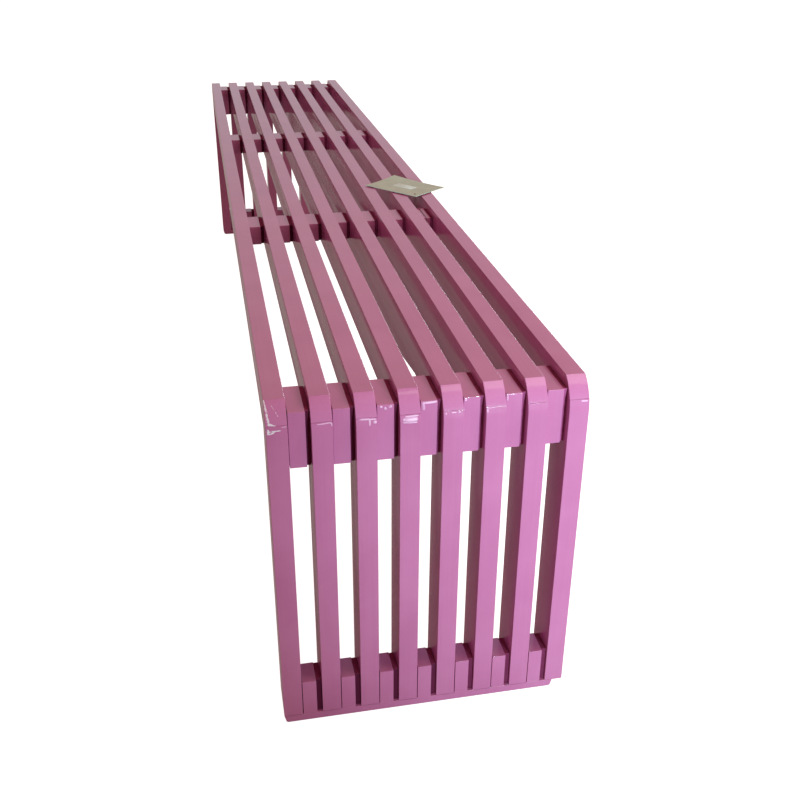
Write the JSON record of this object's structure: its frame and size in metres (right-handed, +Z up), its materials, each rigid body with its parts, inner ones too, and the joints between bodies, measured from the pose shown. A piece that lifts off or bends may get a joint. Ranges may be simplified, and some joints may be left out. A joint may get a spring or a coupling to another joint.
{
  "type": "slatted bench",
  "caption": "Long low bench of narrow painted slat frames set side by side, with round top corners, spacer blocks in the gaps and a flat runner under each end.",
  "frame": {"origin": "on the floor below the middle of the bench", "axes": "+X along the bench to its near end, +Y across it towards the short end of the runners, +Z up"},
  "size_m": [2.085, 0.3886, 0.4425],
  "materials": {
    "slat_paint": "satin pink paint on wood",
    "spacer_paint": "satin pink paint on wood",
    "rail_paint": "satin pink paint on wood",
    "bare_rod": "bare turned beech, hidden in the joints",
    "kraft_card": "blank uncoated kraft card",
    "jute_string": "twisted thin string"
  },
  "bodies": {
    "root": {"far_corner_rod": "bare_rod", "far_corner_spacer_1": "spacer_paint", "far_corner_spacer_2": "spacer_paint", "far_corner_spacer_3": "spacer_paint", "far_corner_spacer_4": "spacer_paint", "far_corner_spacer_5": "spacer_paint", "far_corner_spacer_6": "spacer_paint", "far_corner_spacer_7": "spacer_paint", "far_foot_rail": "rail_paint", "far_leg_1": "slat_paint", "far_leg_2": "slat_paint", "far_leg_3": "slat_paint", "far_leg_4": "slat_paint", "far_leg_5": "slat_paint", "far_leg_6": "slat_paint", "far_leg_7": "slat_paint", "far_leg_8": "slat_paint", "far_seat_rod": "bare_rod", "far_seat_spacer_1": "spacer_paint", "far_seat_spacer_2": "spacer_paint", "far_seat_spacer_3": "spacer_paint", "far_seat_spacer_4": "spacer_paint", "far_seat_spacer_5": "spacer_paint", "far_seat_spacer_6": "spacer_paint", "far_seat_spacer_7": "spacer_paint", "hang_tag": "kraft_card", "near_corner_rod": "bare_rod", "near_corner_spacer_1": "spacer_paint", "near_corner_spacer_2": "spacer_paint", "near_corner_spacer_3": "spacer_paint", "near_corner_spacer_4": "spacer_paint", "near_corner_spacer_5": "spacer_paint", "near_corner_spacer_6": "spacer_paint", "near_corner_spacer_7": "spacer_paint", "near_foot_rail": "rail_paint", "near_leg_1": "slat_paint", "near_leg_2": "slat_paint", "near_leg_3": "slat_paint", "near_leg_4": "slat_paint", "near_leg_5": "slat_paint", "near_leg_6": "slat_paint", "near_leg_7": "slat_paint", "near_leg_8": "slat_paint", "near_seat_rod": "bare_rod", "near_seat_spacer_1": "spacer_paint", "near_seat_spacer_2": "spacer_paint", "near_seat_spacer_3": "spacer_paint", "near_seat_spacer_4": "spacer_paint", "near_seat_spacer_5": "spacer_paint", "near_seat_spacer_6": "spacer_paint", "near_seat_spacer_7": "spacer_paint", "seat_bar_1": "slat_paint", "seat_bar_2": "slat_paint", "seat_bar_3": "slat_paint", "seat_bar_4": "slat_paint", "seat_bar_5": "slat_paint", "seat_bar_6": "slat_paint", "seat_bar_7": "slat_paint", "seat_bar_8": "slat_paint", "tag_string": "jute_string"}
  },
  "joints": []
}
